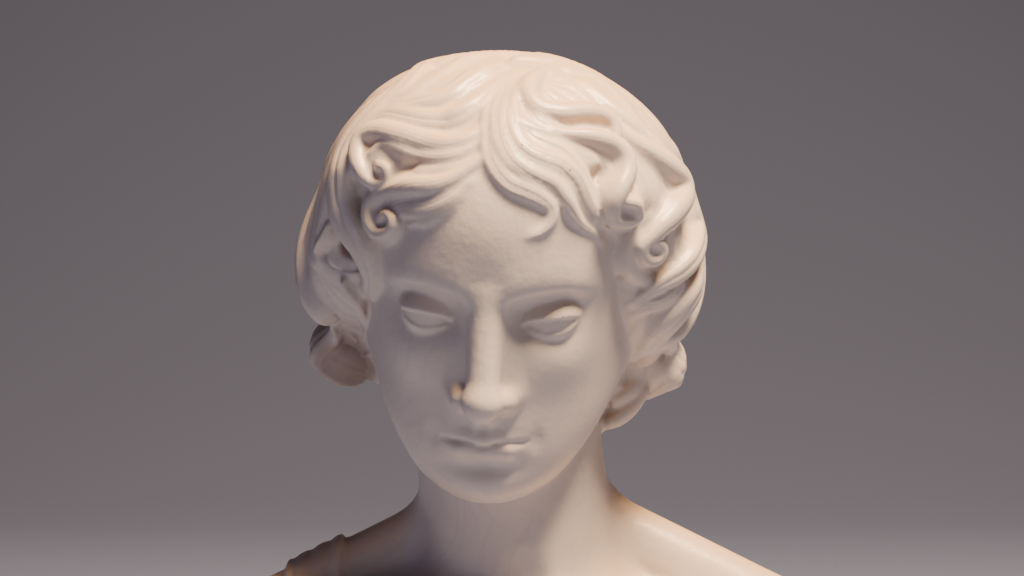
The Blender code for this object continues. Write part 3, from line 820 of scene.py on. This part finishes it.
def measured(points, reach, probes=3):
    high = points[:, 2] > HEAD_BOTTOM
    low = points[:, 2] < BODY_TOP
    near = [nearest(to_head(points[high]), made, reach) for made in LOCKS]
    found = []
    for k in range(probes + 1):
        here = points + (PROBE * np.eye(3)[k - 1] if k else 0)
        head = np.full(len(points), 1e3)
        head[high] = head_field(to_head(here[high]), near)
        trunk = np.full(len(points), 1e3)
        trunk[low] = body(here[low])
        found.append(join(trunk, head, NECK_CREASE))
    slope = [(d - found[0]) / PROBE for d in found[1:]]
    return found[0], np.stack(slope, 1) if slope else None


def shared_out(work, points):
    shares = np.array_split(points, max(WORKERS, len(points) // POINTS_AT_ONCE))
    with ThreadPoolExecutor(WORKERS) as workers:
        return list(workers.map(work, shares))


# %% [markdown]
# ## Carving
# The block is a few balls. A Remesh modifier turns them into one even skin of
# squares. Each point then steps down the slope until it is the wished distance
# from the form, and the skin is eased between steps so that its squares stay even.
# The first pass stops 12 parts off, as a sculptor leaves stone for later, and each
# pass after it has a finer grain.

# %% The block and its skin
def linked(obj):
    bpy.context.scene.collection.objects.link(obj)
    return obj


def rough_block(name, eggs):
    bm = bmesh.new()
    for centre, radii in eggs:
        grown = bmesh.ops.create_icosphere(bm, subdivisions=4, radius=1.0)
        bmesh.ops.scale(bm, vec=radii, verts=grown["verts"])
        bmesh.ops.translate(bm, vec=centre, verts=grown["verts"])
    mesh = bpy.data.meshes.new(name)
    bm.to_mesh(mesh)
    bm.free()
    return linked(bpy.data.objects.new(name, mesh))


def modified(obj, kind, **settings):
    """Puts one modifier on and keeps what it makes."""
    step = obj.modifiers.new("step", kind)
    for key, value in settings.items():
        setattr(step, key, value)
    graph = bpy.context.evaluated_depsgraph_get()
    made = bpy.data.meshes.new_from_object(obj.evaluated_get(graph))
    obj.modifiers.clear()
    old = obj.data
    obj.data = made
    bpy.data.meshes.remove(old)


# %% Driving the skin onto the form
EASED = 0.4
SETTLED = 0.03


def read(mesh, name):
    flat = np.empty(len(mesh.vertices) * 3, np.float32)
    mesh.vertices.foreach_get(name, flat)
    return flat.reshape(-1, 3).astype(float)


def placed(mesh, points):
    mesh.vertices.foreach_set("co", points.astype(np.float32).ravel())
    mesh.update()


def driven(obj, offset, steps, most, reach):
    mesh = obj.data
    p = read(mesh, "co")
    ends = np.empty(len(mesh.edges) * 2, np.int32)
    mesh.edges.foreach_get("vertices", ends)
    ends = ends.reshape(-1, 2)
    count = np.bincount(ends.ravel(), minlength=len(p)).astype(float)
    busy = np.arange(len(p))
    for step in range(steps):
        if step < 2:
            total = np.zeros_like(p)
            for k in range(3):
                total[:, k] += np.bincount(ends[:, 0], p[ends[:, 1], k], len(p))
                total[:, k] += np.bincount(ends[:, 1], p[ends[:, 0], k], len(p))
            p = p + EASED * (total / count[:, None] - p)
        found = shared_out(lambda share: measured(share, reach), p[busy])
        d = np.concatenate([a for a, _ in found])
        slope = np.concatenate([b for _, b in found])
        move = slope * ((d - offset) / np.maximum((slope * slope).sum(1), 0.25))[:, None]
        size = length(move)
        p[busy] = p[busy] - move * np.minimum(1, most / np.maximum(size, 1e-9))[:, None]
        if step:
            busy = busy[size > SETTLED]
    placed(mesh, p)


GRAIN = 1.3
bust = rough_block("carved_bust", [((-14, -10, 285), (140, 130, 150)),
                                   ((0, 5, 180), (90, 90, 110)),
                                   ((0, 0, 50), (215, 130, 115))])
# Distance left on, grain, steps, longest move, and reach of the locks.
for offset, grain, steps, most, reach in [(12, 8, 6, 12, 19), (4, 5, 4, 6, 15), (0, 3, 4, 4, 7),
                                          (0, 1.4 * GRAIN, 4, 2, 3), (0, GRAIN, 4, 1, 2)]:
    modified(bust, "REMESH", mode="VOXEL", voxel_size=grain, adaptivity=0)
    driven(bust, offset, steps, most, reach)
    print("grain", grain, "points", len(bust.data.vertices))

# %% [markdown]
# ## Sawing
# The underside and the arms are sawn flat. The skin is then thinned to fewer
# triangles, mostly on the smooth chest. Rubbing with grit takes the last tool marks
# off marble, and two light rounds of smoothing do the same here. They keep off the
# sawn edges, which stay crisp.

# %% Saw, thin and scale
MOST_TRIANGLES = 194000
RUBBING = 2
SAWN_EDGE = 2.0


def sawn(obj, planes):
    bm = bmesh.new()
    bm.from_mesh(obj.data)
    for point, away in planes:
        everything = bm.verts[:] + bm.edges[:] + bm.faces[:]
        done = bmesh.ops.bisect_plane(bm, geom=everything, dist=1e-4, plane_co=point,
                                      plane_no=away, clear_outer=True)
        rim = [e for e in done["geom_cut"] if isinstance(e, bmesh.types.BMEdge)]
        bmesh.ops.contextual_create(bm, geom=rim)
    bmesh.ops.triangulate(bm, faces=bm.faces[:])
    bmesh.ops.recalc_face_normals(bm, faces=bm.faces[:])
    count = len(bm.faces)
    bm.to_mesh(obj.data)
    bm.free()
    return count


side_cut = ARM_CUT / PART
triangles = sawn(bust, [((0, 0, FLOOR), (0, 0, -1)),
                        ((side_cut, 0, 0), (1, 0, 0)),
                        ((-side_cut, 0, 0), (-1, 0, 0))])
if triangles > MOST_TRIANGLES:
    modified(bust, "DECIMATE", ratio=MOST_TRIANGLES / triangles)
rubbed = bust.vertex_groups.new(name="rubbed")
rubbed.add([v.index for v in bust.data.vertices
            if v.co.z > FLOOR + SAWN_EDGE and abs(v.co.x) < side_cut - SAWN_EDGE], 1.0, "REPLACE")
modified(bust, "SMOOTH", factor=0.5, iterations=RUBBING, vertex_group="rubbed")
bust.vertex_groups.clear()
bust.data.shade_smooth()
bust.data.set_sharp_from_angle(angle=math.radians(50))
print("triangles", len(bust.data.polygons))

# %% [markdown]
# ## Painted shade, dirt and warm wax
# Old polish turns warm where dust settles, and the upward faces are tinted warmer
# still as painted light from above. The deep cuts get brown painted shade, with
# some dirt in it. Both are worked out from the form and kept on the mesh as
# attributes: how closed in each point is, and how far across its strand it lies
# in the hair. The painted shade is darkest in the drilled hollows and on the right
# bun, in the shade of the hair above, and weaker on the face.

# %% Closeness and strands
# How much less painted shade and dirt the face gets.
LESS_ON_FACE = 0.6
# How dark the painted shade on the right bun is.
BUN_SHADE = 0.6
FEELERS = 2.0, 4.5, 11.0, 24.0
FEELER_REACH = 8


def closeness(share):
    """How much stone stands round a point, from 0 in the open to 1 in a cut."""
    points, normals = share[:, :3], share[:, 3:]
    total = np.zeros(len(points))
    for step in FEELERS:
        d, _ = measured(points + normals * step, FEELER_REACH, 0)
        total += np.clip(1 - d / step, 0, 1) / len(FEELERS)
    return total


def shade_and_dirt_map(points, closed):
    """Brown painted shade with some dirt: more in the drilled hollows, painted shade on the right bun
    in the hair's shade, less on the face.
    """
    q = to_head(points)
    past, _ = onto_skin(q)
    # Painted shade at the bottom of the drilled hollows.
    deep = np.zeros(len(q))
    for seat, radii in DUG:
        deep = np.maximum(deep, 1 - ramp(hollow(q, seat, radii), 0.5, 3))
    deep = deep * ramp(-hair_base(q), 1, 8)
    # Painted shade on the right bun, which lies in the shade of the hair above.
    bun_shade = BUN_SHADE * (1 - ramp(length(q - BUN_RIGHT), 20, 32))
    # Painted shade and some dirt by closeness, less on the face, joined with the hollows and the bun.
    return np.maximum(np.maximum(deep, bun_shade), closed * (1 - LESS_ON_FACE * ramp(past, 0, 8)))


def strand_place(share):
    """Parts across the nearest lock, and how surely the point is on it."""
    high = share[:, 2] > HEAD_BOTTOM
    q = to_head(share[high, :3])
    best = np.full(len(q), 1.2)
    place = np.zeros(len(q))
    sure = np.zeros(len(q))
    for made in LOCKS:
        close, k = nearest(q, made, 1)
        if len(close):
            across, _, _, wide, _ = lock_place(q[close], made, k)
            off = np.abs(lock_field(q[close], made, k))
            mine = off < best[close]
            best[close[mine]] = off[mine]
            place[close[mine]] = (across * wide)[mine]
            sure[close[mine]] = (1 - ramp(np.abs(across), 0.75, 0.95))[mine]
    found = np.zeros((len(share), 2))
    found[high] = np.column_stack([place, sure])
    return found


def kept(mesh, name, values):
    layer = mesh.attributes.new(name, "FLOAT", "POINT")
    layer.data.foreach_set("value", values.astype(np.float32))


mesh = bust.data
points = read(mesh, "co")
normals = read(mesh, "normal")
both = np.column_stack([points, normals])
# Brown painted shade with some dirt, from how closed in each point is.
painted_shade_and_dirt = shade_and_dirt_map(points, np.concatenate(shared_out(closeness, both)))
strands = np.concatenate(shared_out(strand_place, both))
kept(mesh, "painted_shade_and_dirt", painted_shade_and_dirt)
kept(mesh, "strand", strands[:, 0])
kept(mesh, "on_lock", strands[:, 1])
kept(mesh, "upward", np.clip(normals[:, 2], 0, 1))
print("mean closeness", round(float(painted_shade_and_dirt.mean()), 3))

placed(mesh, (points - vec(0, 0, FLOOR)) * PART)

# %% [markdown]
# ## The marble
# Statuary marble is packed calcite crystals, cut, rubbed down with grit and waxed
# or oiled. Light goes a few millimetres in before it comes back, which softens
# every shadow edge. The polish is a satin, so highlights are broad. The white is
# creamy, with faint grey clouding, and warm on upward faces, partly where old wax
# has yellowed and partly as a painted warm light from above.

# %% Colours and nodes
def linear(code):
    """An sRGB hex colour as the linear colour that shaders work in."""
    made = []
    for k in (0, 2, 4):
        c = int(code[k:k + 2], 16) / 255
        made.append(c / 12.92 if c <= 0.04045 else ((c + 0.055) / 1.055) ** 2.4)
    return (*made, 1.0)


def add(tree, kind, settings=None, values=None, links=None):
    """One node, with its settings, its socket values and what feeds it."""
    node = tree.nodes.new(kind)
    for key, value in (settings or {}).items():
        setattr(node, key, value)
    for key, value in (values or {}).items():
        node.inputs[key].default_value = value
    for key, source in (links or {}).items():
        tree.links.new(source, node.inputs[key])
    return node


# %% Marble, white statuary, rubbed to satin
CLOUD = 0.060
VEINS_APART = 0.110
RIPPLE = 0.004
COMB_CUTS_APART = 2.1
MARBLE_IOR = 1.5
GLOW_DEPTH = 0.004
# Right and up on the front view in parts, radius in metres and strength.
MARKS = [(-2.4, 362.8, 0.0009, 0.8), (24.4, 348.8, 0.0010, 0.7), (52.3, 288.6, 0.0035, 0.22)]
marble = bpy.data.materials.new("white_statuary_marble")
marble.use_nodes = True
tree = marble.node_tree
skin = tree.nodes["Principled BSDF"]
place = add(tree, "ShaderNodeTexCoord").outputs["Object"]
closed = add(tree, "ShaderNodeAttribute", {"attribute_name": "painted_shade_and_dirt"}).outputs["Fac"]
upward = add(tree, "ShaderNodeAttribute", {"attribute_name": "upward"}).outputs["Fac"]
across = add(tree, "ShaderNodeAttribute", {"attribute_name": "strand"}).outputs["Fac"]
on_lock = add(tree, "ShaderNodeAttribute", {"attribute_name": "on_lock"}).outputs["Fac"]

# Clouds 60 mm across, and veins that wander between them 110 mm apart.
clouds = add(tree, "ShaderNodeTexNoise",
             values={"Scale": 1 / CLOUD, "Detail": 5.0, "Roughness": 0.55}, links={"Vector": place})
warped = add(tree, "ShaderNodeTexNoise",
             values={"Scale": 1 / VEINS_APART, "Detail": 6.0, "Distortion": 1.6},
             links={"Vector": place})
centred = add(tree, "ShaderNodeMath", {"operation": "SUBTRACT"}, {1: 0.5},
              {0: warped.outputs["Fac"]})
from_vein = add(tree, "ShaderNodeMath", {"operation": "ABSOLUTE"}, links={0: centred.outputs[0]})
vein = add(tree, "ShaderNodeMapRange", {"interpolation_type": "SMOOTHSTEP"},
           {"From Min": 0.0, "From Max": 0.022, "To Min": 0.16, "To Max": 0.0},
           {"Value": from_vein.outputs[0]})
cloudy = add(tree, "ShaderNodeMapRange", values={"From Min": 0.35, "From Max": 0.7},
             links={"Value": clouds.outputs["Fac"]})
colour = add(tree, "ShaderNodeMix", {"data_type": "RGBA"},
             {6: linear("d8d0c8"), 7: linear("ccc5bf")}, {0: cloudy.outputs[0]})
colour = add(tree, "ShaderNodeMix", {"data_type": "RGBA"}, {7: linear("b4afae")},
             {0: vein.outputs[0], 6: colour.outputs[2]})

# Upward faces are tinted warm, partly by old wax and partly as a painted warm light from above.
wax_and_top_light = add(tree, "ShaderNodeMapRange", values={"From Min": 0.1, "From Max": 0.9, "To Max": 0.75},
            links={"Value": upward})
colour = add(tree, "ShaderNodeMix", {"data_type": "RGBA"}, {7: linear("dcb68a")},
             {0: wax_and_top_light.outputs[0], 6: colour.outputs[2]})

# Brown painted shade, with some dirt, lies in the cuts; the drilled hollows and the right bun get
# painted shade.
shade_and_dirt_amount = add(tree, "ShaderNodeMapRange", {"interpolation_type": "SMOOTHSTEP"},
           {"From Min": 0.3, "From Max": 0.8, "To Min": 0.0, "To Max": 0.85}, {"Value": closed})
colour = add(tree, "ShaderNodeMix", {"data_type": "RGBA"}, {7: linear("6e4c38")},
             {0: shade_and_dirt_amount.outputs[0], 6: colour.outputs[2]})

# Two specks in the hair over the brow and a faint stain at the left temple.
for across_view, up_view, radius, strength in MARKS:
    aim = vec(across_view, DRAWING_PLANE, up_view) - VIEW_POINT
    start = Vector((VIEW_POINT - vec(0, 0, FLOOR)) * PART)
    spot = bust.ray_cast(start, Vector(aim).normalized())[1]
    away = add(tree, "ShaderNodeVectorMath", {"operation": "DISTANCE"}, {1: spot}, {0: place})
    mark = add(tree, "ShaderNodeMapRange", {"interpolation_type": "SMOOTHSTEP"},
               {"From Min": 0.3 * radius, "From Max": radius, "To Min": strength, "To Max": 0.0},
               {"Value": away.outputs["Value"]})
    colour = add(tree, "ShaderNodeMix", {"data_type": "RGBA"}, {7: linear("6a4a38")},
                 {0: mark.outputs[0], 6: colour.outputs[2]})
    print("mark at", [round(v, 3) for v in spot])
tree.links.new(colour.outputs[2], skin.inputs["Base Color"])

# Satin polish: a little duller in the cuts, where rubbing doesn't reach.
rough = add(tree, "ShaderNodeMapRange", values={"From Min": 0.2, "From Max": 0.9, "To Min": 0.36,
                                                "To Max": 0.6}, links={"Value": closed}).outputs[0]
tree.links.new(rough, skin.inputs["Roughness"])
skin.inputs["IOR"].default_value = MARBLE_IOR
skin.inputs["Subsurface Weight"].default_value = 0.25
skin.inputs["Subsurface Radius"].default_value = (1.0, 0.72, 0.5)
skin.inputs["Subsurface Scale"].default_value = GLOW_DEPTH

# Fine cuts along the locks, 2.1 mm apart, and the 4 mm ripple that hand rubbing leaves.
turns = add(tree, "ShaderNodeMath", {"operation": "MULTIPLY"}, {1: 2 * math.pi / COMB_CUTS_APART},
            {0: across})
comb = add(tree, "ShaderNodeMath", {"operation": "SINE"}, links={0: turns.outputs[0]})
comb = add(tree, "ShaderNodeMath", {"operation": "MULTIPLY"},
           links={0: comb.outputs[0], 1: on_lock})
ripple = add(tree, "ShaderNodeTexNoise", values={"Scale": 1 / RIPPLE, "Detail": 3.0},
             links={"Vector": place})
height = add(tree, "ShaderNodeMath", {"operation": "MULTIPLY_ADD"}, {1: 0.09},
             {0: comb.outputs[0], 2: ripple.outputs["Fac"]})
bump = add(tree, "ShaderNodeBump", values={"Strength": 0.35, "Distance": 0.0006},
           links={"Height": height.outputs[0]})
tree.links.new(bump.outputs[0], skin.inputs["Normal"])

bust.data.materials.clear()
bust.data.materials.append(marble)
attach(bust, "root")
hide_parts("marble_bust")
print("material", marble.name)

# %% [markdown]
# ## A place to look at it
# A pale sweep runs under the bust and up behind it. A warm soft light stands high on
# the right, as in the photograph, and a cool, weaker one fills from the left.

# %% The sweep
HALF_SWEEP = 4.0
SWEEP_FRONT = -3.5
BEND_START = 1.5
BEND = 1.5
SWEEP_TOP = 4.5
BEND_STEPS = 12
bm = bmesh.new()
rim = [bm.verts.new((-HALF_SWEEP, y, 0)) for y in (SWEEP_FRONT, BEND_START)]
for k in range(1, BEND_STEPS + 1):
    a = math.pi / 2 * k / BEND_STEPS
    rim.append(bm.verts.new((-HALF_SWEEP, BEND_START + BEND * math.sin(a), BEND - BEND * math.cos(a))))
rim.append(bm.verts.new((-HALF_SWEEP, BEND_START + BEND, SWEEP_TOP)))
edges = [bm.edges.new(pair) for pair in zip(rim, rim[1:])]
wide = bmesh.ops.extrude_edge_only(bm, edges=edges)
moved = [v for v in wide["geom"] if isinstance(v, bmesh.types.BMVert)]
bmesh.ops.translate(bm, vec=(2 * HALF_SWEEP, 0, 0), verts=moved)
bmesh.ops.recalc_face_normals(bm, faces=bm.faces[:])
sweep_mesh = bpy.data.meshes.new("pale_sweep")
bm.to_mesh(sweep_mesh)
bm.free()
sweep_mesh.shade_smooth()
sweep = linked(bpy.data.objects.new("pale_sweep", sweep_mesh))
paper = bpy.data.materials.new("matt_paper")
paper.use_nodes = True
surface = paper.node_tree.nodes["Principled BSDF"].inputs
surface["Base Color"].default_value = linear("707c9c")
surface["Roughness"].default_value = 0.9
sweep.data.materials.append(paper)


# %% Lights
def soft_light(name, place, target, size, power, colour):
    light = bpy.data.lights.new(name, "AREA")
    light.size = size
    light.energy = power
    light.color = linear(colour)[:3]
    obj = linked(bpy.data.objects.new(name, light))
    obj.location = place
    obj.rotation_euler = (Vector(target) - Vector(place)).to_track_quat("-Z", "Y").to_euler()


soft_light("key", (0.42, -0.62, 1.75), (0, 0, 0.3), 0.5, 150, "ffd9b2")
soft_light("fill", (-1.4, -0.7, 0.6), (0, 0, 0.28), 1.0, 1.2, "7c8cff")
world = bpy.data.worlds.new("studio")
bpy.context.scene.world = world
world.use_nodes = True
sky = world.node_tree.nodes["Background"].inputs
sky["Color"].default_value = linear("c8c8d8")
sky["Strength"].default_value = 0.02

# %% The camera, level with the face and 1.38 m away
camera = bpy.data.cameras.new("camera")
camera.lens = 85
viewer = linked(bpy.data.objects.new("camera", camera))
viewer.location = (VIEW_POINT - vec(0, 0, FLOOR)) * PART
viewer.rotation_euler = (math.pi / 2, 0, 0)
bpy.context.scene.camera = viewer
